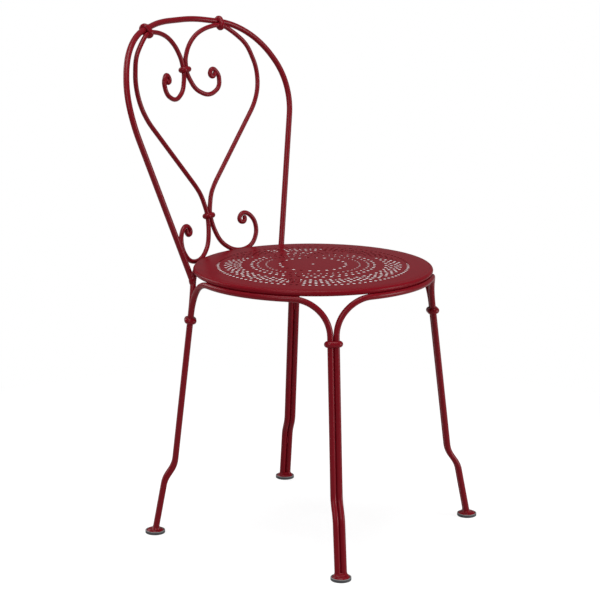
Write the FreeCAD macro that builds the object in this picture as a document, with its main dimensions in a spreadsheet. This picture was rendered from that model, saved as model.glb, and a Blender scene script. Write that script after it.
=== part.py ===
import FreeCAD, Part
import math
import os
import Sketcher
from FreeCAD import Placement, Rotation, Vector

# A round bistro chair of bent and welded steel rod with a perforated sheet seat.
# Z is up from the floor, the sitter faces -Y, and the sitter's left is +X.
# Lengths are in millimetres and angles in degrees.

DRIVING_SIZES = {
    "seat_height": 469.0,
    "seat_diameter": 414.6,
    "seat_dome": 3.4,
    "sheet_thickness": 0.8,
    "rim_roll_diameter": 9.4,
    "rod_diameter": 10.4,
    "scroll_rod_diameter": 8.2,
    "weld_gap": 0.1,
    "collar_gap": 0.3,
    "half_knot_straight": 6.5,
    "foot_front_half_width": 202.5,
    "foot_rear_half_width": 195.5,
    "foot_half_depth": 198.0,
    "leg_top_half_width": 153.6,
    "leg_top_half_depth": 147.0,
    "leg_top_below_seat": 69.0,
    "leg_collar_below_seat": 87.5,
    "knee_upper_height": 124.5,
    "knee_lower_height": 97.6,
    "knee_upper_share": 0.521,
    "knee_lower_share": 0.255,
    "knee_bend_radius": 45.0,
    "arch_bend_radius": 62.0,
    "arch_inset": 2.0,
    "glide_diameter": 34.6,
    "glide_height": 5.4,
    "glide_wall": 1.9,
    "glide_floor": 2.0,
    "glide_outset": 1.0,
    "foot_plate_height": 5.6,
    "foot_plate_crown": 3.2,
    "foot_plate_flat": 11.8,
    "leg_collar_band": 10.8,
    "leg_collar_proud": 5.1,
    "knot_band": 10.4,
    "knot_proud": 4.6,
    "hoop_collar_band": 11.0,
    "hoop_collar_proud": 5.0,
    "hoop_end_lift": 1.6,
    "back_lean": 0.1995,
    "heart_fold": 0.166,
    "lower_knot_rise": 64.2,
    "upper_knot_rise": 321.2,
    "weld_bead_diameter": 2.4,
    "weld_bead_length": 13.0,
    "upper_weld_height": 350.0,
    "lower_weld_height": 80.0,
    "eye_ring_radius": 57.0,
    "eye_hole_diameter": 6.3,
    "inner_ring_radius": 95.9,
    "inner_hole_diameter": 5.3,
    "wide_ring_radius": 106.1,
    "wide_hole_diameter": 6.3,
    "band_ring_radius": 126.2,
    "band_hole_diameter": 6.2,
    "outer_ring_radius": 142.1,
    "outer_hole_diameter": 6.2,
    "edge_ring_radius": 164.3,
    "edge_hole_diameter": 6.0,
}

# The heart's outline in its folded plane: across from the middle, above the seat.
# It runs from the eye of the upper scroll to the eye of the lower one.
UPPER_SCROLL = [
    (68.4, 308.3), (65.5, 304.3), (59.9, 305.0), (57.7, 309.2), (59.9, 314.9), (64.3, 318.0),
    (69.5, 317.3), (78.5, 307.1), (76.3, 285.0), (48.0, 270.4), (17.6, 285.0), (6.9, 306.5),
]
HEART_SIDE = [
    (6.0, 340.7), (17.3, 361.6), (37.6, 379.8), (64.3, 390.3), (104.4, 395.5), (133.8, 376.4),
    (158.6, 355.9), (173.8, 313.1), (169.5, 277.3), (153.3, 248.0), (25.8, 117.4), (13.6, 100.9),
    (6.5, 79.4),
]
LOWER_SCROLL = [
    (7.2, 41.1), (17.6, 15.5), (42.5, -2.0), (68.6, -6.1), (95.0, 0.8), (109.5, 23.1),
    (108.0, 42.7), (98.0, 54.7), (87.2, 59.7), (77.4, 57.8), (71.3, 50.4), (73.3, 44.2),
    (81.0, 43.1), (84.6, 45.9), (85.0, 49.3),
]

# The hoop's corners on one side: across, behind the seat's edge, above the seat
HOOP_SIDE = [
    (226.4, 1.1, 251.5), (223.8, 17.9, 304.7), (192.6, 42.8, 358.5), (137.2, 66.4, 394.3),
    (46.9, 87.7, 407.7),
]
HOOP_LANDING_SHARE = 0.12
SETTLING_STEPS = 8
HALVINGS = 40
SHORTEST_RUN = 0.01
ARCH_CORNER_TURN = math.radians(45)

# Rings of holes in the seat: name, number of holes, and whether they are turned half a pitch
SEAT_RINGS = [
    ("eye", 24, False),
    ("inner", 48, True),
    ("wide", 48, False),
    ("band", 48, True),
    ("outer", 48, False),
    ("edge", 96, False),
]

doc = FreeCAD.newDocument("bistro_chair")
sheet = doc.addObject("Spreadsheet::Sheet", "sizes")
for row, (alias, amount) in enumerate(DRIVING_SIZES.items(), start=1):
    sheet.set("A%d" % row, alias)
    sheet.set("B%d" % row, str(amount))
    sheet.setAlias("B%d" % row, alias)
doc.recompute()


def size(alias):
    return float(sheet.get(alias))


# Places that several pieces share
seat_radius = size("seat_diameter") / 2
seat_height = size("seat_height")
rod_radius = size("rod_diameter") / 2
scroll_radius = size("scroll_rod_diameter") / 2
weld_gap = size("weld_gap")
leg_top_height = seat_height - size("leg_top_below_seat")
arch_radius = seat_radius - size("arch_inset")
bead_radius = size("rim_roll_diameter") / 2
bead_run_radius = seat_radius - bead_radius
rim_reach = bead_radius + rod_radius + weld_gap
rim_drop = math.sqrt(rim_reach ** 2 - (arch_radius - bead_run_radius) ** 2)
arch_height = seat_height - bead_radius - rim_drop
plate_top = size("glide_floor") + size("foot_plate_height")
LEGS = {
    "rear_left": (1, 1),
    "rear_right": (-1, 1),
    "front_left": (1, -1),
    "front_right": (-1, -1),
}
ARCHES = {
    "front_arch": ("front_left", "front_right"),
    "rear_arch": ("rear_left", "rear_right"),
    "left_arch": ("front_left", "rear_left"),
    "right_arch": ("front_right", "rear_right"),
}
finished = []


def share_at(height):
    """How far in a leg has come at a height: 0 at its foot, 1 at its top."""
    foot = (plate_top, 0.0)
    lower = (size("knee_lower_height"), size("knee_lower_share"))
    upper = (size("knee_upper_height"), size("knee_upper_share"))
    top = (leg_top_height, 1.0)
    for (z0, s0), (z1, s1) in ((foot, lower), (lower, upper), (upper, top)):
        if height <= z1:
            break
    return s0 + (s1 - s0) * (height - z0) / (z1 - z0)


def leg_point(leg, height, side=0.0, outward=0.0):
    """A point of a leg's middle line, moved along its pair of rods or away from the chair."""
    sign_x, sign_y = LEGS[leg]
    share = share_at(height)
    foot_half_width = size("foot_rear_half_width" if sign_y > 0 else "foot_front_half_width")
    run_x = size("leg_top_half_width") - foot_half_width
    run_y = size("leg_top_half_depth") - size("foot_half_depth")
    x = sign_x * (foot_half_width + run_x * share)
    y = sign_y * (size("foot_half_depth") + run_y * share)
    across = Vector(-sign_y * run_y, sign_x * run_x, 0).normalize()
    away = Vector(-sign_x * run_x, -sign_y * run_y, 0).normalize()
    return Vector(x, y, height) + across * side + away * outward


def rounded_edges(points, largest_radius):
    """Straight runs joined by tangent arcs, one at each inner point."""
    edges = []
    here = points[0]
    for index in range(1, len(points) - 1):
        corner = points[index]
        back = points[index - 1] - corner
        ahead = points[index + 1] - corner
        room_back = back.Length * (1.0 if index == 1 else 0.5)
        room_ahead = ahead.Length * (1.0 if index == len(points) - 2 else 0.5)
        half_turn = back.getAngle(ahead) / 2
        reach = min(room_back, room_ahead, largest_radius / math.tan(half_turn))
        back.normalize()
        ahead.normalize()
        start = corner + back * reach
        end = corner + ahead * reach
        inward = (back + ahead).normalize()
        bend_radius = reach * math.tan(half_turn)
        middle = corner + inward * (math.hypot(bend_radius, reach) - bend_radius)
        if (start - here).Length > SHORTEST_RUN:
            edges.append(Part.LineSegment(here, start).toShape())
        else:
            start = here
        edges.append(Part.Arc(start, middle, end).toShape())
        here = end
    if (points[-1] - here).Length > SHORTEST_RUN:
        edges.append(Part.LineSegment(here, points[-1]).toShape())
    return edges


def rod_along(label, edges, diameter):
    """A round rod along a route of straight runs and arcs."""
    route = doc.addObject("Part::Feature", label + "_route")
    route.Shape = Part.Wire(edges)
    first = route.Shape.OrderedEdges[0]
    section = doc.addObject("Part::Circle", label + "_section")
    section.setExpression("Radius", "sizes.%s / 2" % diameter)
    heading = first.tangentAt(first.FirstParameter)
    section.Placement = Placement(route.Shape.OrderedVertexes[0].Point, Rotation(Vector(0, 0, 1), heading))
    rod = doc.addObject("Part::Sweep", label)
    rod.Sections = [section]
    rod.Spine = (route, ["Edge%d" % (n + 1) for n in range(len(route.Shape.Edges))])
    rod.Solid = True
    rod.Frenet = False
    return rod


def cut_from(label, body, tools):
    """What is left of a piece after others are taken out of it."""
    left = body
    for number, tool in enumerate(tools, start=1):
        cut = doc.addObject("Part::Cut", "%s_cut_%d" % (label, number))
        cut.Base = left
        cut.Tool = tool
        left = cut
    return left


def finish(label, piece):
    piece.Label = label
    finished.append(piece)
    return piece


def leg_run(leg, other):
    """Corners of an arch's route from a leg's foot to where it meets the seat's rim."""
    bend = size("arch_bend_radius")
    bend_reach = bend * math.tan(ARCH_CORNER_TURN / 2)
    toward = leg_point(other, arch_height) - leg_point(leg, arch_height)
    side = rod_radius + weld_gap / 2
    if (leg_point(leg, arch_height, side) - leg_point(leg, arch_height)).dot(toward) < 0:
        side = -side
    below_plate = plate_top - rod_radius
    shoulder_height = arch_height - bend + bend_reach
    heights = (below_plate, size("knee_lower_height"), size("knee_upper_height"), shoulder_height)
    run = [leg_point(leg, height, side) for height in heights]
    start_angle = math.atan2(run[-1].y, run[-1].x)
    way = 1 if math.sin(math.atan2(toward.y, toward.x) - start_angle) > 0 else -1
    touch_angle = start_angle + way * bend / arch_radius
    touch = Vector(math.cos(touch_angle), math.sin(touch_angle), 0) * arch_radius
    touch.z = arch_height
    along = Vector(-math.sin(touch_angle), math.cos(touch_angle), 0) * way
    return run + [touch - along * bend_reach, touch]


def leg_edges(leg, other):
    """The knee is bent tightly and the shoulder under the rim widely."""
    run = leg_run(leg, other)
    halfway = (run[2] + run[3]) * 0.5
    knee = rounded_edges(run[:3] + [halfway], size("knee_bend_radius"))
    shoulder = rounded_edges([halfway] + run[3:], size("arch_bend_radius"))
    return knee + shoulder


def make_arch(label, leg_a, leg_b, floor_block):
    """One rod makes half of two legs and the arch between them under the seat."""
    edges_a = leg_edges(leg_a, leg_b)
    edges_b = leg_edges(leg_b, leg_a)
    touch_a = leg_run(leg_a, leg_b)[-1]
    touch_b = leg_run(leg_b, leg_a)[-1]
    crown = Vector(touch_a.x + touch_b.x, touch_a.y + touch_b.y, 0).normalize() * arch_radius
    crown.z = arch_height
    rim_edge = Part.Arc(touch_a, crown, touch_b).toShape()
    route = Part.sortEdges(edges_a + [rim_edge] + edges_b)[0]
    rod = rod_along(label + "_rod", route, "rod_diameter")
    return finish(label, cut_from(label, rod, [floor_block]))


def heart_point(side, across, rise, foot_y):
    """The back leans away from the seat and its two halves are folded forward."""
    y = foot_y + size("back_lean") * rise - size("heart_fold") * across
    return Vector(side * across, y, seat_height + rise)


def heart_route(side, foot_y):
    """Each half of the heart lies in one flat plane."""
    knot_x = scroll_radius + weld_gap / 2
    half_knot = size("half_knot_straight")
    upper = size("upper_knot_rise")
    lower = size("lower_knot_rise")
    corners = UPPER_SCROLL + [(knot_x, upper - half_knot), (knot_x, upper + half_knot)]
    corners += HEART_SIDE + [(knot_x, lower + half_knot), (knot_x, lower - half_knot)]
    corners += LOWER_SCROLL
    points = [heart_point(side, across, rise, foot_y) for across, rise in corners]
    return rounded_edges(points, seat_radius)


def settle_heart():
    """The back's foot is moved until the lower scrolls just touch the seat's rim."""
    rim = Part.makeCircle(bead_run_radius, Vector(0, 0, seat_height - bead_radius))
    touching = scroll_radius + bead_radius + weld_gap
    foot_y = seat_radius
    for _ in range(SETTLING_STEPS):
        apart = Part.Wire(heart_route(1, foot_y)).distToShape(rim)[0]
        foot_y += touching - apart
    return foot_y


def settle_hoop():
    """The hoop is moved until it just touches the heart, and the meeting place is found."""
    heart = Part.Wire(heart_route(1, heart_foot_y))
    touching = rod_radius + scroll_radius + weld_gap
    set_back = 0.0
    for _ in range(SETTLING_STEPS):
        apart, nearest, _ = heart.distToShape(Part.Wire(hoop_route(set_back)))
        set_back += touching - apart
    return set_back, nearest[0][0].x


def landing_point(side):
    """Where the hoop's end stands on the shoulder of the rear arch."""
    legs = ("rear_left", "rear_right") if side > 0 else ("rear_right", "rear_left")
    bend = [edge for edge in leg_edges(*legs) if isinstance(edge.Curve, Part.Circle)][-1]
    first, last = bend.ParameterRange
    landing = bend.valueAt(first + HOOP_LANDING_SHARE * (last - first))
    across, behind, rise = HOOP_SIDE[0]
    upward = Vector(side * across, seat_radius + behind, seat_height + rise) - landing
    return landing + upward.normalize() * size("hoop_end_lift")


def hoop_route(set_back):
    halves = {}
    for side in (1, -1):
        corners = [landing_point(side)]
        for across, behind, rise in HOOP_SIDE:
            y = seat_radius + behind + set_back
            corners.append(Vector(side * across, y, seat_height + rise))
        halves[side] = corners
    return rounded_edges(halves[1] + halves[-1][::-1], seat_radius)


def half_round_section(label, start, rod_way, outward, band, proud):
    """A flat side that lies on the rods and a round back."""
    section = doc.addObject("Sketcher::SketchObject", label + "_section")
    half = size(band) / 2
    left = Vector(-half, 0, 0)
    right = Vector(half, 0, 0)
    section.addGeometry(Part.LineSegment(left, right))
    section.addGeometry(Part.Arc(right, Vector(0, size(proud), 0), left))
    section.addConstraint(Sketcher.Constraint("Coincident", 0, 2, 1, 1))
    section.addConstraint(Sketcher.Constraint("Coincident", 0, 1, 1, 2))
    section.addConstraint(Sketcher.Constraint("Symmetric", 0, 1, 0, 2, -1, 1))
    section.addConstraint(Sketcher.Constraint("Horizontal", 0))
    section.addConstraint(Sketcher.Constraint("DistanceX", 0, 1, 0, 2, 2 * half))
    section.setExpression("Constraints[4]", "sizes.%s" % band)
    round_radius = (half ** 2 + size(proud) ** 2) / (2 * size(proud))
    section.addConstraint(Sketcher.Constraint("Radius", 1, round_radius))
    chord = "((sizes.%s / 2) ^ 2 + sizes.%s ^ 2) / (2 * sizes.%s)" % (band, proud, proud)
    section.setExpression("Constraints[5]", chord)
    turn = Rotation(rod_way, outward, rod_way.cross(outward), "XYZ")
    section.Placement = Placement(start, turn)
    return section


def make_collar(label, centres, radii, rod_way, band, proud):
    """A half-round strip closed round two rods that lie side by side."""
    rod_way = Vector(rod_way).normalize()
    apart = centres[1] - centres[0]
    apart = apart - rod_way * apart.dot(rod_way)
    spread = apart.Length
    along = apart.normalize()
    far_centre = centres[0] + along * spread
    near_radius = radii[0] + size("collar_gap")
    far_radius = radii[1] + size("collar_gap")
    slope = (near_radius - far_radius) / spread
    square = rod_way.cross(along)
    up = along * slope + square * math.sqrt(1 - slope ** 2)
    down = along * slope - square * math.sqrt(1 - slope ** 2)
    near_up = centres[0] + up * near_radius
    near_down = centres[0] + down * near_radius
    far_up = far_centre + up * far_radius
    far_down = far_centre + down * far_radius
    start = (near_up + far_up) * 0.5
    edges = [
        Part.LineSegment(start, far_up).toShape(),
        Part.Arc(far_up, far_centre + along * far_radius, far_down).toShape(),
        Part.LineSegment(far_down, near_down).toShape(),
        Part.Arc(near_down, centres[0] - along * near_radius, near_up).toShape(),
        Part.LineSegment(near_up, start).toShape(),
    ]
    track = doc.addObject("Part::Feature", label + "_track")
    track.Shape = Part.Wire(edges)
    section = half_round_section(label, start, rod_way, up, band, proud)
    ring = doc.addObject("Part::Sweep", label)
    ring.Sections = [section]
    ring.Spine = (track, ["Edge%d" % (n + 1) for n in range(len(edges))])
    ring.Solid = True
    ring.Frenet = False
    return finish(label, ring)


def make_leg_collar(label, leg):
    height = seat_height - size("leg_collar_below_seat")
    side = rod_radius + weld_gap / 2
    centres = [leg_point(leg, height, -side), leg_point(leg, height, side)]
    rod_way = leg_point(leg, leg_top_height) - leg_point(leg, height)
    make_collar(label, centres, [rod_radius, rod_radius], rod_way, "leg_collar_band", "leg_collar_proud")


def make_knot(label, rise):
    knot_x = scroll_radius + weld_gap / 2
    centres = [heart_point(side, knot_x, size(rise), heart_foot_y) for side in (-1, 1)]
    rod_way = Vector(0, size("back_lean"), 1)
    make_collar(label, centres, [scroll_radius, scroll_radius], rod_way, "knot_band", "knot_proud")


def point_across(edges, across):
    """The point and heading of the upper part of a route at a distance across."""
    for edge in edges:
        first, last = edge.ParameterRange
        ends = [edge.valueAt(first), edge.valueAt(last)]
        high = min(ends[0].z, ends[1].z) > seat_height + size("upper_knot_rise")
        if not high or (ends[0].x - across) * (ends[1].x - across) > 0:
            continue
        for _ in range(HALVINGS):
            middle = (first + last) / 2
            if (edge.valueAt(first).x - across) * (edge.valueAt(middle).x - across) > 0:
                first = middle
            else:
                last = middle
        return edge.valueAt(first), edge.tangentAt(first)


def make_hoop_collar(label, side):
    across = side * meeting_across
    hoop_centre, hoop_way = point_across(hoop_route(hoop_set_back), across)
    heart_centre, heart_way = point_across(heart_route(side, heart_foot_y), across)
    if hoop_way.dot(heart_way) < 0:
        heart_way = heart_way * -1
    centres = [heart_centre, hoop_centre]
    make_collar(label, centres, [scroll_radius, rod_radius], hoop_way + heart_way,
                "hoop_collar_band", "hoop_collar_proud")


def new_body(label):
    body = doc.addObject("PartDesign::Body", label)
    return finish(label, body)


def sketch_on(body, role, name):
    """A sketch attached to one of the body's own origin planes."""
    plane = [f for f in body.Origin.OriginFeatures if f.Role == role][0]
    sketch = body.newObject("Sketcher::SketchObject", name)
    sketch.AttachmentSupport = [(plane, "")]
    sketch.MapMode = "FlatFace"
    return sketch


def seat_profile(body):
    """A domed sheet whose edge is rolled under, drawn as a half section."""
    sketch = sketch_on(body, "XZ_Plane", "seat_profile")
    dome = size("seat_dome")
    under_dome = dome - size("sheet_thickness")
    crown_centre = Vector(0, (dome ** 2 - bead_run_radius ** 2) / (2 * dome) - bead_radius, 0)
    top_radius = dome - crown_centre.y
    under_radius = under_dome - crown_centre.y
    bead_centre = Vector(bead_run_radius, -bead_radius, 0)
    outward = bead_centre - crown_centre
    arm = outward.Length
    outward.normalize()
    join = bead_centre + outward * bead_radius
    far = (under_radius ** 2 - bead_radius ** 2 + arm ** 2) / (2 * arm)
    square = Vector(-outward.y, outward.x, 0)
    inner = crown_centre + outward * far + square * math.sqrt(under_radius ** 2 - far ** 2)
    top = Vector(0, dome, 0)
    under = Vector(0, under_dome, 0)
    upright = Vector(0, 1, 0)

    def between(first, second, radius):
        halfway = (first - crown_centre).normalize() + (second - crown_centre).normalize()
        return crown_centre + halfway.normalize() * radius

    middle_line = sketch.addGeometry(Part.LineSegment(under, top))
    upper = sketch.addGeometry(Part.Arc(top, between(top, join, top_radius), join))
    bead = sketch.addGeometry(Part.Arc(join, bead_centre - upright * bead_radius, inner))
    lower = sketch.addGeometry(Part.Arc(inner, between(inner, under, under_radius), under))
    fix_profile(sketch, middle_line, upper, bead, lower)
    return sketch


def fix_profile(sketch, middle_line, upper, bead, lower):
    """The section's ends meet, its arcs are tangent and its sizes follow the named ones."""
    origin, y_axis = -1, -2
    start, end, centre = 1, 2, 3
    constraints = [
        ("PointOnObject", middle_line, start, y_axis),
        ("PointOnObject", middle_line, end, y_axis),
        ("PointOnObject", upper, centre, y_axis),
        ("Coincident", upper, end, middle_line, end),
        ("Tangent", upper, start, bead, end),
        ("Coincident", bead, start, lower, start),
        ("Coincident", lower, end, middle_line, start),
        ("Coincident", lower, centre, upper, centre),
    ]
    for constraint in constraints:
        sketch.addConstraint(Sketcher.Constraint(*constraint))
    sizes = [
        (("DistanceY", origin, start, middle_line, end), "seat_dome", 1),
        (("DistanceY", middle_line, start, middle_line, end), "sheet_thickness", 1),
        (("Radius", bead), "rim_roll_diameter", 2),
        (("DistanceY", bead, centre, origin, start), "rim_roll_diameter", 2),
    ]
    for constraint, alias, part_of in sizes:
        number = sketch.addConstraint(Sketcher.Constraint(*constraint, size(alias) / part_of))
        sketch.setExpression("Constraints[%d]" % number, "sizes.%s / %d" % (alias, part_of))
    number = sketch.addConstraint(
        Sketcher.Constraint("DistanceX", origin, start, bead, centre, bead_run_radius))
    sketch.setExpression("Constraints[%d]" % number,
                         "(sizes.seat_diameter - sizes.rim_roll_diameter) / 2")


def ring_of_holes(body, name, count, half_pitch):
    """One hole through the sheet, repeated round the seat's middle."""
    ring_radius = size(name + "_ring_radius")
    turn = 180.0 / count if half_pitch else 0.0
    sketch = sketch_on(body, "XY_Plane", name + "_hole_sketch")
    centre = Rotation(Vector(0, 0, 1), turn).multVec(Vector(ring_radius, 0, 0))
    hole_radius = size(name + "_hole_diameter") / 2
    circle = sketch.addGeometry(Part.Circle(centre, Vector(0, 0, 1), hole_radius))
    sketch.addConstraint(Sketcher.Constraint("Radius", circle, hole_radius))
    sketch.addConstraint(Sketcher.Constraint("DistanceX", -1, 1, circle, 3, centre.x))
    sketch.setExpression("Constraints[0]", "sizes.%s_hole_diameter / 2" % name)
    sketch.setExpression("Constraints[1]", "sizes.%s_ring_radius * cos(%s)" % (name, turn))
    if half_pitch:
        sketch.addConstraint(Sketcher.Constraint("DistanceY", -1, 1, circle, 3, centre.y))
        sketch.setExpression("Constraints[2]", "sizes.%s_ring_radius * sin(%s)" % (name, turn))
    else:
        sketch.addConstraint(Sketcher.Constraint("PointOnObject", circle, 3, -1))
    hole = body.newObject("PartDesign::Pocket", name + "_hole")
    hole.Profile = sketch
    hole.Type = "ThroughAll"
    hole.Midplane = True
    body.Tip = hole
    ring = body.newObject("PartDesign::PolarPattern", name + "_ring")
    ring.Originals = [hole]
    ring.Axis = (sketch, ["N_Axis"])
    ring.Angle = 360.0
    ring.Occurrences = count
    ring.Refine = False
    body.Tip = ring


def make_seat():
    body = new_body("seat")
    profile = seat_profile(body)
    doc.recompute()
    turned = body.newObject("PartDesign::Revolution", "seat_sheet")
    turned.Profile = profile
    turned.ReferenceAxis = (profile, ["V_Axis"])
    turned.Angle = 360.0
    body.Tip = turned
    doc.recompute()
    for name, count, half_pitch in SEAT_RINGS:
        ring_of_holes(body, name, count, half_pitch)
    body.Placement.Base = Vector(0, 0, seat_height)
    return body


def make_foot(leg):
    """A crowned steel plate under the rods and a soft glide pressed over it."""
    spot = leg_point(leg, plate_top, 0, size("glide_outset"))
    plate_radius = "sizes.glide_diameter / 2 - sizes.glide_wall - sizes.weld_gap"
    disc = doc.addObject("Part::Cylinder", "plate_disc_" + leg)
    disc.setExpression("Radius", plate_radius)
    disc.setExpression("Height", "sizes.foot_plate_height - sizes.foot_plate_crown")
    disc.Placement.Base = Vector(spot.x, spot.y, size("glide_floor"))
    crown = doc.addObject("Part::Cone", "plate_crown_" + leg)
    crown.setExpression("Radius1", plate_radius)
    crown.setExpression("Radius2", "sizes.foot_plate_flat")
    crown.setExpression("Height", "sizes.foot_plate_crown")
    crown.Placement.Base = Vector(spot.x, spot.y, plate_top - size("foot_plate_crown"))
    plate = doc.addObject("Part::MultiFuse", "foot_plate_" + leg)
    plate.Shapes = [disc, crown]
    finish("foot_plate_" + leg, plate)
    outside = doc.addObject("Part::Cylinder", "glide_outside_" + leg)
    outside.setExpression("Radius", "sizes.glide_diameter / 2")
    outside.setExpression("Height", "sizes.glide_height")
    outside.Placement.Base = Vector(spot.x, spot.y, 0)
    hollow = doc.addObject("Part::Cylinder", "glide_hollow_" + leg)
    hollow.setExpression("Radius", "sizes.glide_diameter / 2 - sizes.glide_wall")
    hollow.setExpression("Height", "sizes.glide_height")
    hollow.Placement.Base = Vector(spot.x, spot.y, size("glide_floor"))
    glide = doc.addObject("Part::Cut", "glide_" + leg)
    glide.Base = outside
    glide.Tool = hollow
    return finish("glide_" + leg, glide)


def make_bead(label, leg, height_name):
    """A short weld in the inner groove between a leg's two rods."""
    height = size(height_name)
    weld_radius = size("weld_bead_diameter") / 2
    side = rod_radius + weld_gap / 2
    apart = rod_radius + weld_radius + weld_gap / 2
    inward = math.sqrt(apart ** 2 - side ** 2)
    half_length = size("weld_bead_length") / 2
    rod_way = (leg_point(leg, height) - leg_point(leg, height - half_length)).normalize()
    spot = leg_point(leg, height, 0, -inward) - rod_way * half_length
    bead = doc.addObject("Part::Cylinder", label)
    bead.setExpression("Radius", "sizes.weld_bead_diameter / 2")
    bead.setExpression("Height", "sizes.weld_bead_length")
    bead.Placement = Placement(spot, Rotation(Vector(0, 0, 1), rod_way))
    return finish(label, bead)


make_seat()
heart_foot_y = settle_heart()
hoop_set_back, meeting_across = settle_hoop()

floor_block = doc.addObject("Part::Box", "floor_block")
floor_block.setExpression("Length", "4 * sizes.foot_front_half_width")
floor_block.setExpression("Width", "4 * sizes.foot_half_depth")
floor_block.setExpression("Height", "sizes.glide_floor + sizes.foot_plate_height")
floor_block.setExpression("Placement.Base.x", "-2 * sizes.foot_front_half_width")
floor_block.setExpression("Placement.Base.y", "-2 * sizes.foot_half_depth")
for label, (leg_a, leg_b) in ARCHES.items():
    make_arch(label, leg_a, leg_b, floor_block)

rear_arch = [piece for piece in finished if piece.Label == "rear_arch"][0]
hoop_rod = rod_along("back_hoop_rod", hoop_route(hoop_set_back), "rod_diameter")
finish("back_hoop", cut_from("back_hoop", hoop_rod, [rear_arch]))
for label, side in (("heart_rod_left", 1), ("heart_rod_right", -1)):
    finish(label, rod_along(label, heart_route(side, heart_foot_y), "scroll_rod_diameter"))

for leg in LEGS:
    make_leg_collar("leg_collar_" + leg, leg)
    make_foot(leg)
    make_bead("upper_weld_" + leg, leg, "upper_weld_height")
    make_bead("lower_weld_" + leg, leg, "lower_weld_height")
make_knot("upper_knot_collar", "upper_knot_rise")
make_knot("lower_knot_collar", "lower_knot_rise")
make_hoop_collar("hoop_collar_left", 1)
make_hoop_collar("hoop_collar_right", -1)

doc.recompute()

# The chair is moved so that the middle of its outside lies over the origin
boxes = {piece.Label: piece.Shape.optimalBoundingBox() for piece in finished}
front_edge = boxes["glide_front_left"].YMin
rear_edge = boxes["back_hoop"].YMax
forward = Vector(0, -(front_edge + rear_edge) / 2, 0)

os.makedirs("parts", exist_ok=True)
for thing in doc.Objects:
    if "Invalid" in thing.State or "Error" in thing.State:
        raise RuntimeError("%s did not recompute" % thing.Label)
for piece in finished:
    if piece.Shape.isNull() or not piece.Shape.isValid():
        raise RuntimeError("%s has no valid shape" % piece.Label)
    shape = piece.Shape.copy()
    shape.translate(forward)
    shape.exportStep("parts/%s.step" % piece.Label)
    print(piece.Label, round(shape.Volume, 1), len(shape.Solids))
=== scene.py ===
import bpy
import math
from mathutils import Euler, Matrix, Vector


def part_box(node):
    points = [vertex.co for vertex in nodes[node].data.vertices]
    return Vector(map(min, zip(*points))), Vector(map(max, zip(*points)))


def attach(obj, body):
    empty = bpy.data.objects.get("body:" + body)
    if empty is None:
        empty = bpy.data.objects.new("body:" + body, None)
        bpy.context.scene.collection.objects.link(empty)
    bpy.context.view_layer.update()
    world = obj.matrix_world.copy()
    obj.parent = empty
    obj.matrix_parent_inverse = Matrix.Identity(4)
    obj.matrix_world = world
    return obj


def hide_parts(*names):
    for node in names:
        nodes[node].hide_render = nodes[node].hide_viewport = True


# garden bistro chair: bent and welded rod, a perforated sheet seat and plastic glides
# lengths are in metres, the chair stands on z = 0 and faces -Y

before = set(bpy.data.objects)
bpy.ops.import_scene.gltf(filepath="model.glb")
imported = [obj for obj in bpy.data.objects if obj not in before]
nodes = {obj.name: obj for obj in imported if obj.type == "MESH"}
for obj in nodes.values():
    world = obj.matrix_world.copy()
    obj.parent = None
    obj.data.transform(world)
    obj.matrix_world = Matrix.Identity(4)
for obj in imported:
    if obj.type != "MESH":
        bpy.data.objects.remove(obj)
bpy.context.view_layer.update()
mm = 0.001


# shader helpers

class Socket:
    def __init__(self, tree, socket):
        self.tree = tree
        self.socket = socket

    def math(self, operation, first, second):
        return self.tree.node("ShaderNodeMath", {"operation": operation}, [first, second])

    def __add__(self, other):
        return self.math("ADD", self, other)

    def __radd__(self, other):
        return self.math("ADD", other, self)

    def __sub__(self, other):
        return self.math("SUBTRACT", self, other)

    def __rsub__(self, other):
        return self.math("SUBTRACT", other, self)

    def __mul__(self, other):
        return self.math("MULTIPLY", self, other)

    def __rmul__(self, other):
        return self.math("MULTIPLY", other, self)


class Tree:
    def __init__(self, owner):
        self.owner = owner  # a material or a world
        owner.use_nodes = True
        self.links = owner.node_tree.links
        self.nodes = owner.node_tree.nodes
        self.nodes.clear()

    # settings come first, then the values or links of the sockets
    def node(self, kind, settings=None, inputs=None, output=0):
        made = self.nodes.new(kind)
        for key, value in (settings or {}).items():
            setattr(made, key, value)
        pairs = inputs.items() if isinstance(inputs, dict) else enumerate(inputs or [])
        for key, value in pairs:
            if isinstance(value, Socket):
                self.links.new(value.socket, made.inputs[key])
            else:
                made.inputs[key].default_value = value
        return Socket(self, made.outputs[output]) if len(made.outputs) else None

    def place(self):
        return self.node("ShaderNodeTexCoord", output="Object")

    def noise(self, scale, detail):
        inputs = {"Vector": self.place(), "Scale": scale, "Detail": detail}
        return self.node("ShaderNodeTexNoise", None, inputs)

    def bump(self, height, strength, depth):
        inputs = {"Height": height, "Strength": strength, "Distance": depth}
        return self.node("ShaderNodeBump", None, inputs)

    def ramp(self, value, start, end):
        inputs = {"Value": value, "From Min": start, "From Max": end}
        return self.node("ShaderNodeMapRange", {"clamp": True}, inputs)

    def mixColours(self, amount, low, high):
        return self.node("ShaderNodeMix", {"data_type": "RGBA"}, {0: amount, 6: low, 7: high}, 2)

    def mixShaders(self, amount, low, high):
        return self.node("ShaderNodeMixShader", None, [amount, low, high])

    def finish(self, shader, kind="ShaderNodeOutputMaterial"):
        self.node(kind, None, {"Surface": shader})
        return self.owner


# finishes: a red powder coat in three sheens, and the glides' grey plastic with a painted highlight
# along the cup's top edge

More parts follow.
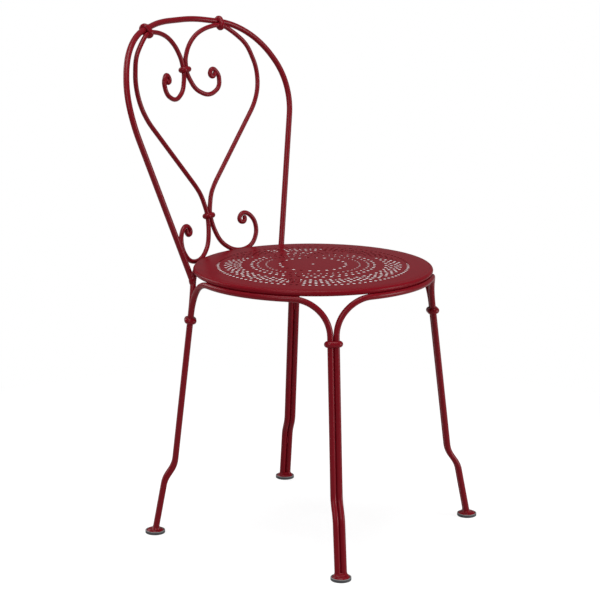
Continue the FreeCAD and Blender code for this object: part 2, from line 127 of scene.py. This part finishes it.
coat = {
    "colour": (0.176, 0.0030, 0.0088, 1),
    "shade": (0.160, 0.0024, 0.0074, 1),
    "shadeScale": 14.0,
    "shadeDetail": 3.0,
    "grainScale": 1800.0,
    "grainDetail": 1.0,
    "grainStrength": 0.3,
    "grainDepth": 0.01 * mm,
    "grainSheen": 0.08,
    "rod": {"roughness": 0.3, "specular": 0.15},
    "sheet": {"roughness": 0.34, "specular": 0.08},
    "collar": {"roughness": 0.28, "specular": 0.15},
}
plastic = {
    "colour": (0.044, 0.046, 0.05, 1),
    "worn": (0.058, 0.06, 0.064, 1),
    # painted highlight: a lighter grey painted on the cup's top edge, between the two heights below,
    # where light catches the rim
    "paintedLipHighlight": (0.22, 0.22, 0.22, 1),
    "paintedHighlightFrom": 4.5 * mm,
    "paintedHighlightTo": 5.3 * mm,
    "speckScale": 600.0,
    "speckDetail": 2.0,
    "speckStrength": 0.3,
    "speckDepth": 0.04 * mm,
    "speckSheen": 0.1,
    "roughness": 0.5,
}
noiseMean = 0.5  # what a noise texture gives on average


def redCoat(name, sheen):
    tree = Tree(bpy.data.materials.new(name))
    cloud = tree.noise(coat["shadeScale"], coat["shadeDetail"])
    grain = tree.noise(coat["grainScale"], coat["grainDetail"])
    shader = tree.node("ShaderNodeBsdfPrincipled", None, {
        "Base Color": tree.mixColours(cloud, coat["shade"], coat["colour"]),
        "Roughness": sheen["roughness"] + (grain - noiseMean) * coat["grainSheen"],
        "Specular IOR Level": sheen["specular"],
        "Normal": tree.bump(grain, coat["grainStrength"], coat["grainDepth"]),
    })
    return tree.finish(shader)


def glidePlastic():
    tree = Tree(bpy.data.materials.new("glidePlastic"))
    speck = tree.noise(plastic["speckScale"], plastic["speckDetail"])
    # painted highlight: the top edge of the cup is painted a lighter grey by its height, where light
    # catches the rim
    height = tree.node("ShaderNodeSeparateXYZ", None, [tree.place()], "Z")
    paintedHighlightMask = tree.ramp(height, plastic["paintedHighlightFrom"], plastic["paintedHighlightTo"])
    body = tree.mixColours(speck, plastic["colour"], plastic["worn"])
    shader = tree.node("ShaderNodeBsdfPrincipled", None, {
        "Base Color": tree.mixColours(paintedHighlightMask, body, plastic["paintedLipHighlight"]),
        "Roughness": plastic["roughness"] + (speck - noiseMean) * plastic["speckSheen"],
        "Normal": tree.bump(speck, plastic["speckStrength"], plastic["speckDepth"]),
    })
    return tree.finish(shader)


redRod = redCoat("redRod", coat["rod"])
redSheet = redCoat("redSheet", coat["sheet"])
redCollar = redCoat("redCollar", coat["collar"])
greyPlastic = glidePlastic()
for name, node in nodes.items():
    node.data.materials.clear()
    if name.startswith("glide"):
        node.data.materials.append(greyPlastic)
    else:
        node.data.materials.append(redCollar if "collar" in name else redRod)
print("finishes on", len(nodes), "CAD nodes")


# modelling helpers

onPlane = 0.1 * mm  # a spot this near to a plane counts as lying on it


def deselectAll():
    if bpy.context.object and bpy.context.object.mode == "EDIT":
        bpy.ops.object.mode_set(mode="OBJECT")
    bpy.ops.object.select_all(action="DESELECT")


def makeActive(piece):
    deselectAll()
    piece.select_set(True)
    bpy.context.view_layer.objects.active = piece


def freeze(piece):
    makeActive(piece)
    bpy.ops.object.transform_apply(location=True, rotation=True, scale=True)
    return piece


def applyModifier(piece, kind, **settings):
    makeActive(piece)
    modifier = piece.modifiers.new(kind.lower(), kind)
    for key, value in settings.items():
        setattr(modifier, key, value)
    bpy.ops.object.modifier_apply(modifier=modifier.name)


def pickEdges(piece, wanted):
    makeActive(piece)
    bpy.ops.object.mode_set(mode="EDIT")
    bpy.ops.mesh.select_mode(type="EDGE")
    bpy.ops.mesh.select_all(action="DESELECT")
    bpy.ops.object.mode_set(mode="OBJECT")
    for edge in piece.data.edges:
        edge.select = all(wanted(piece.data.vertices[end].co) for end in edge.vertices)
    bpy.ops.object.mode_set(mode="EDIT")


def copyOf(piece, placing):
    made = piece.copy()
    made.data = piece.data.copy()
    bpy.context.collection.objects.link(made)
    made.data.transform(placing)
    return made


def middleOf(low, high):
    return Vector(((low.x + high.x) / 2, (low.y + high.y) / 2, 0))


bothSides = (("left", 1), ("right", -1))


def toSide(spot, sign):
    return Vector((sign * spot[0], spot[1], spot[2]))


def dress(piece, name, material, slotName, *replaced):
    piece.name = name
    piece.data.name = name
    piece.data.materials.clear()
    piece.data.materials.append(material)
    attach(piece, "root")
    if replaced:
        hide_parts(*replaced)


# seat: a domed sheet, rolled under at its edge, with a shallow groove just inside the roll

seatLow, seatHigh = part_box("seat")
seat = {
    "radius": (seatHigh.x - seatLow.x) / 2,
    "middle": middleOf(seatLow, seatHigh),
    "apex": seatHigh.z,
    "dome": 3.4 * mm,
    "thickness": 0.6 * mm,
    "sides": 192,
    "ringStep": 8 * mm,
    "innerRing": 20 * mm,
    "grooveDepth": 0.5 * mm,
    "grooveHalf": 2.0 * mm,
    "rollRadius": 4.7 * mm,
    "rollStep": 15,  # degrees
    "rollTurn": 285,
    "rollSag": 1.05,
    "smoothAngle": math.radians(35),
}
flatRadius = seat["radius"] - seat["rollRadius"]


def domeHeight(radius):
    return seat["apex"] - seat["dome"] * (radius / flatRadius) ** 2


def insetRing(radius, width, dip=0):
    inner = radius - width
    rise = domeHeight(inner) - domeHeight(radius)
    bpy.ops.mesh.inset(thickness=width, depth=dip + rise)
    return inner


def rollEdge():
    bpy.ops.mesh.select_all(action="DESELECT")
    bpy.ops.mesh.select_mode(type="EDGE")
    bpy.ops.mesh.select_non_manifold()
    radius = flatRadius
    height = 1  # of the roll's circle, which the sheet joins at its top
    for turn in range(seat["rollStep"], seat["rollTurn"] + 1, seat["rollStep"]):
        angle = math.radians(90 - turn)
        drop = seat["rollRadius"] * (math.sin(angle) - height)
        if turn > 90:
            drop *= seat["rollSag"]  # the lower half of the roll hangs a little deeper
        bpy.ops.mesh.extrude_region_move(TRANSFORM_OT_translate={"value": (0, 0, drop)})
        nextRadius = flatRadius + seat["rollRadius"] * math.cos(angle)
        share = nextRadius / radius
        bpy.ops.transform.resize(value=(share, share, 1), center_override=(0, 0, 0))
        radius = nextRadius
        height = math.sin(angle)


def makeSheet():
    deselectAll()
    bpy.ops.mesh.primitive_circle_add(vertices=seat["sides"], radius=flatRadius, fill_type="NGON",
                                      location=(0, 0, domeHeight(flatRadius)))
    sheet = bpy.context.object
    bpy.ops.object.mode_set(mode="EDIT")
    bpy.ops.mesh.select_all(action="SELECT")
    radius = insetRing(flatRadius, seat["grooveHalf"], -seat["grooveDepth"])
    radius = insetRing(radius, seat["grooveHalf"], seat["grooveDepth"])
    while radius > seat["innerRing"]:
        radius = insetRing(radius, seat["ringStep"])
    rollEdge()
    bpy.ops.object.mode_set(mode="OBJECT")
    applyModifier(sheet, "SOLIDIFY", thickness=seat["thickness"], offset=-1)
    return sheet


# the seat's holes: one in the middle and eleven rings round it

holes = {
    "middle": 6.0 * mm,
    "sides": 16,
    "turn": math.radians(-0.9),
    "cutterDepth": 20 * mm,
    # in mm: ring radius, holes round it, hole diameter, and 1 where turned half a pitch
    "rings": [
        (57.0, 24, 6.3, 0), (80.9, 48, 4.7, 0), (95.9, 48, 5.3, 1), (106.1, 48, 6.3, 0),
        (126.2, 48, 6.2, 1), (130.8, 48, 5.0, 0), (135.4, 48, 6.2, 1), (142.1, 48, 6.2, 0),
        (146.3, 48, 6.2, 1), (151.4, 48, 6.2, 0), (164.3, 96, 6.0, 0),
    ],
}


def makeHoleCutters():
    deselectAll()
    bpy.ops.mesh.primitive_cylinder_add(vertices=holes["sides"], radius=holes["middle"] / 2,
                                        depth=holes["cutterDepth"], location=(0, 0, seat["apex"]))
    first = freeze(bpy.context.object)
    cutters = [first]
    for ringRadius, count, diameter, half in holes["rings"]:
        share = diameter * mm / holes["middle"]
        for number in range(count):
            angle = 2 * math.pi * (number + half / 2) / count + holes["turn"]
            spot = Vector((math.cos(angle), math.sin(angle), 0)) * ringRadius * mm
            placing = Matrix.Translation(spot) @ Matrix.Diagonal((share, share, 1, 1))
            cutters.append(copyOf(first, placing))
    deselectAll()
    for cutter in cutters:
        cutter.select_set(True)
    bpy.context.view_layer.objects.active = first
    bpy.ops.object.join()
    return first


def makeSeat():
    sheet = makeSheet()
    cutters = makeHoleCutters()
    applyModifier(sheet, "BOOLEAN", operation="DIFFERENCE", object=cutters, solver="MANIFOLD")
    bpy.data.objects.remove(cutters)
    makeActive(sheet)
    bpy.ops.object.shade_smooth_by_angle(angle=seat["smoothAngle"])
    sheet.data.transform(Matrix.Translation(seat["middle"]))
    dress(sheet, "seatSheet", redSheet, "red_coat", "seat")
    print("seat sheet", len(sheet.data.polygons), "faces")


makeSeat()


# welds: what the foot welds and the hoop's welds share

weldRipple = bpy.data.textures.new("weldRipple", "CLOUDS")
weldRipple.noise_scale = 3.0 * mm


def roughen(weld, depth):
    applyModifier(weld, "DISPLACE", texture=weldRipple, strength=depth)


# feet: a plastic cup with rounded edges, and the weld that holds the leg's rods to its plate

cup = {
    "wall": 1.9 * mm,
    "floor": 2.0 * mm,
    "sides": 72,
    "footRound": 1.3 * mm,
    "footRoundSteps": 4,
    "lipRound": 0.5 * mm,
    "lipRoundSteps": 3,
    "smoothAngle": math.radians(40),
}
leg = {
    "rodRadius": 5.2 * mm,
    "topHalfWidth": 153.6 * mm,
    "topHalfDepth": 147.0 * mm,
    "lean": 0.2,
    "outset": 1.0 * mm,
}
footWeld = {
    "sides": 40,
    "ripple": 0.5 * mm,
    # in mm, from the plate up: how far the weld stands out from the rods, and how high
    "profile": [(3.2, -0.4), (2.7, 0.3), (1.5, 1.1), (0.8, 2.2), (0.3, 3.6), (-0.4, 4.6)],
}


def makeCup(low, high):
    radius = (high.x - low.x) / 2
    height = high.z - low.z
    deselectAll()
    bpy.ops.mesh.primitive_cylinder_add(vertices=cup["sides"], radius=radius, depth=height,
                                        location=(0, 0, height / 2))
    made = freeze(bpy.context.object)
    pickEdges(made, lambda spot: spot.z > height / 2)
    bpy.ops.mesh.inset(thickness=cup["wall"], depth=0)
    bpy.ops.mesh.extrude_region_move(TRANSFORM_OT_translate={"value": (0, 0, cup["floor"] - height)})
    pickEdges(made, lambda spot: spot.z < onPlane)
    bpy.ops.mesh.bevel(offset=cup["footRound"], segments=cup["footRoundSteps"], affect="EDGES")
    pickEdges(made, lambda spot: spot.z > height - onPlane)
    bpy.ops.mesh.bevel(offset=cup["lipRound"], segments=cup["lipRoundSteps"], affect="EDGES")
    bpy.ops.object.mode_set(mode="OBJECT")
    bpy.ops.object.shade_smooth_by_angle(angle=cup["smoothAngle"])
    return made


def makeFootWeld():
    reach, height = footWeld["profile"][0]
    radius = leg["rodRadius"] + reach * mm
    deselectAll()
    bpy.ops.mesh.primitive_circle_add(vertices=footWeld["sides"], radius=radius, fill_type="NGON",
                                      location=(0, 0, height * mm))
    weld = freeze(bpy.context.object)
    bpy.ops.object.mode_set(mode="EDIT")
    bpy.ops.mesh.select_all(action="SELECT")
    across = 0
    for nextReach, nextHeight in footWeld["profile"][1:]:
        up = (nextHeight - height) * mm
        step = -leg["lean"] * up
        bpy.ops.mesh.extrude_region_move(TRANSFORM_OT_translate={"value": (step, 0, up)})
        across += step
        nextRadius = leg["rodRadius"] + nextReach * mm
        share = nextRadius / radius
        bpy.ops.transform.resize(value=(share, share, 1), center_override=(across, 0, 0))
        radius = nextRadius
        height = nextHeight
    bpy.ops.object.mode_set(mode="OBJECT")
    for vertex in weld.data.vertices:
        if abs(vertex.co.y) > onPlane:  # drawn apart, to go round the two rods
            vertex.co.y += math.copysign(leg["rodRadius"], vertex.co.y)
    applyModifier(weld, "SUBSURF", levels=1, render_levels=1)
    roughen(weld, footWeld["ripple"])
    makeActive(weld)
    bpy.ops.object.mode_set(mode="EDIT")
    bpy.ops.mesh.select_all(action="SELECT")
    bpy.ops.mesh.normals_make_consistent(inside=False)
    bpy.ops.object.mode_set(mode="OBJECT")
    bpy.ops.object.shade_smooth()
    return weld


def makeFeet():
    cupModel = makeCup(*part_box("glide_front_left"))
    weldModel = makeFootWeld()
    for place in ("front_left", "front_right", "rear_left", "rear_right"):
        middle = middleOf(*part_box("glide_" + place))
        made = copyOf(cupModel, Matrix.Translation(middle))
        dress(made, "glideCup_" + place, greyPlastic, "glide", "glide_" + place)
        foot = middle - seat["middle"]
        legTop = Vector((math.copysign(leg["topHalfWidth"], foot.x),
                         math.copysign(leg["topHalfDepth"], foot.y), 0))
        away = (foot - legTop).normalized()  # the way the leg leans
        turn = Matrix.Rotation(math.atan2(away.y, away.x), 4, "Z")
        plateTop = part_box("foot_plate_" + place)[1].z
        spot = middle - away * leg["outset"] + Vector((0, 0, plateTop))
        made = copyOf(weldModel, Matrix.Translation(spot) @ turn)
        dress(made, "footWeld_" + place, redRod, "red_coat")
    bpy.data.objects.remove(cupModel)
    bpy.data.objects.remove(weldModel)


makeFeet()
print("feet done")


# rod ends: the scrolls' tips are forged round, and a weld joins each end of the hoop to its leg

scrollTip = {
    "radius": 4.12 * mm,
    "sides": 28,
    "rings": 14,
    "reach": 1.3 * mm,
    "stretch": 1.05,
    # where the left rod ends, in mm across, behind and above, and the way it points there
    "ends": {
        "upper": ((68.4, 221.94, 777.3), (0.586, 0.064, 0.808)),
        "lower": ((85.0, 167.51, 518.3), (0.115, 0.176, 0.978)),
    },
}
hoopWeld = {
    "radius": 5.3 * mm,
    "sides": 32,
    "rings": 20,
    "stretch": 1.85,
    "ripple": 0.25 * mm,
    "endHeight": 4.0 * mm,  # how much of the hoop's foot counts as its end
    "way": (0.324, 0.157, 0.933),  # up along the hoop's left foot
}


def makeBall(radius, sides, rings):
    deselectAll()
    bpy.ops.mesh.primitive_uv_sphere_add(segments=sides, ring_count=rings, radius=radius,
                                         location=(0, 0, 0))
    bpy.ops.object.shade_smooth()
    return bpy.context.object


def alongRod(middle, heading, stretch):
    turn = heading.to_track_quat("Z", "Y").to_matrix().to_4x4()
    return Matrix.Translation(middle) @ turn @ Matrix.Diagonal((1, 1, stretch, 1))


def makeScrollTips():
    ball = makeBall(scrollTip["radius"], scrollTip["sides"], scrollTip["rings"])
    for level, (spot, way) in scrollTip["ends"].items():
        for side, sign in bothSides:
            heading = toSide(way, sign).normalized()
            middle = toSide(spot, sign) * mm + heading * scrollTip["reach"]
            made = copyOf(ball, alongRod(middle, heading, scrollTip["stretch"]))
            dress(made, "scrollTip_" + level + "_" + side, redRod, "red_coat")
    bpy.data.objects.remove(ball)


def makeHoopWelds():
    ball = makeBall(hoopWeld["radius"], hoopWeld["sides"], hoopWeld["rings"])
    roughen(ball, hoopWeld["ripple"])
    hoop = nodes["back_hoop"]
    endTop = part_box("back_hoop")[0].z + hoopWeld["endHeight"]
    spots = [hoop.matrix_world @ vertex.co for vertex in hoop.data.vertices]
    for side, sign in bothSides:
        end = [spot for spot in spots if spot.z < endTop and spot.x * sign > 0]
        middle = sum(end, Vector()) / len(end)
        heading = toSide(hoopWeld["way"], sign).normalized()
        made = copyOf(ball, alongRod(middle, heading, hoopWeld["stretch"]))
        dress(made, "hoopWeld_" + side, redRod, "red_coat")
    bpy.data.objects.remove(ball)


makeScrollTips()
makeHoopWelds()
print("scroll tips and hoop welds done")


# stage: a pale floor that fades to white away from the chair, in soft studio light

pureWhite = (1, 1, 1, 1)
stage = {
    "floorSize": 60.0,
    "litFloor": (0.55, 0.55, 0.55, 1),  # what lights the chair from below
    "seenFloor": (0.3, 0.3, 0.3, 1),  # what the camera sees, with the glow on top
    "glow": 0.79,
    "fadeFrom": 0.5,
    "fadeTo": 1.1,
    "around": 0.22,
    "aroundColour": (0.96, 0.97, 1.0, 1),
}
lamps = {
    "keyBox": {"spot": (1.3, -3.4, 0.9), "size": 1.6, "power": 74},
    "fillBox": {"spot": (-4.0, -0.8, 3.0), "size": 2.2, "power": 80},
    "topBox": {"spot": (-0.2, 0.0, 4.6), "size": 2.8, "power": 128},
    "backBox": {"spot": (-0.4, 3.8, 2.0), "size": 1.8, "power": 46},
}
lampAim = Vector((0, 0, 0.45))


def floorMaterial():
    tree = Tree(bpy.data.materials.new("paleFloor"))
    cameraRay = tree.node("ShaderNodeLightPath", output="Is Camera Ray")
    lit = tree.node("ShaderNodeBsdfDiffuse", None, {"Color": stage["litFloor"]})
    dim = tree.node("ShaderNodeBsdfDiffuse", None, {"Color": stage["seenFloor"]})
    glow = tree.node("ShaderNodeEmission", None, {"Color": pureWhite, "Strength": stage["glow"]})
    near = tree.node("ShaderNodeAddShader", None, [dim, glow])
    far = tree.node("ShaderNodeEmission", None, {"Color": pureWhite, "Strength": 1})
    distance = tree.node("ShaderNodeVectorMath", {"operation": "LENGTH"}, [tree.place()], "Value")
    fade = tree.ramp(distance, stage["fadeFrom"], stage["fadeTo"])
    return tree.finish(tree.mixShaders(cameraRay, lit, tree.mixShaders(fade, near, far)))


def makeFloor():
    deselectAll()
    bpy.ops.mesh.primitive_plane_add(size=stage["floorSize"], location=(0, 0, 0))
    floor = bpy.context.object
    floor.name = "floor"
    floor.data.materials.append(floorMaterial())


def makeWorld():
    tree = Tree(bpy.data.worlds.new("studio"))
    cameraRay = tree.node("ShaderNodeLightPath", output="Is Camera Ray")
    light = {"Color": stage["aroundColour"], "Strength": stage["around"]}
    around = tree.node("ShaderNodeBackground", None, light)
    behind = tree.node("ShaderNodeBackground", None, {"Color": pureWhite, "Strength": 1})
    shader = tree.mixShaders(cameraRay, around, behind)
    bpy.context.scene.world = tree.finish(shader, "ShaderNodeOutputWorld")


def makeLamps():
    for name, lamp in lamps.items():
        deselectAll()
        bpy.ops.object.light_add(type="AREA", location=lamp["spot"])
        made = bpy.context.object
        made.name = name
        made.data.size = lamp["size"]
        made.data.energy = lamp["power"]
        aim = lampAim - Vector(lamp["spot"])
        made.rotation_euler = aim.to_track_quat("-Z", "Y").to_euler()


makeFloor()
makeWorld()
makeLamps()
print("stage and lamps")


# camera, from the photo: place, way in degrees, and lens in mm

camera = {
    "spot": (-2.8092, -1.98288, 1.1674),
    "yaw": 54.8485,
    "pitch": -12.5355,
    "roll": 0.135,
    "lens": 120.97,
    "sensor": 36,
    "shift": (0.0081, 0.0),
    "farEnd": 200,
}


def makeCamera():
    deselectAll()
    bpy.ops.object.camera_add(location=camera["spot"])
    made = bpy.context.object
    yaw = math.radians(camera["yaw"])
    upright = math.radians(90 + camera["pitch"])
    turn = Euler((upright, 0, -yaw), "XYZ").to_matrix()
    roll = Euler((0, 0, math.radians(camera["roll"])), "XYZ").to_matrix()
    made.rotation_euler = (turn @ roll).to_euler()
    made.data.sensor_width = camera["sensor"]
    made.data.lens = camera["lens"]
    made.data.shift_x, made.data.shift_y = camera["shift"]
    made.data.clip_end = camera["farEnd"]
    bpy.context.scene.camera = made


makeCamera()
bpy.context.scene.view_settings.view_transform = "Standard"
print("camera set")
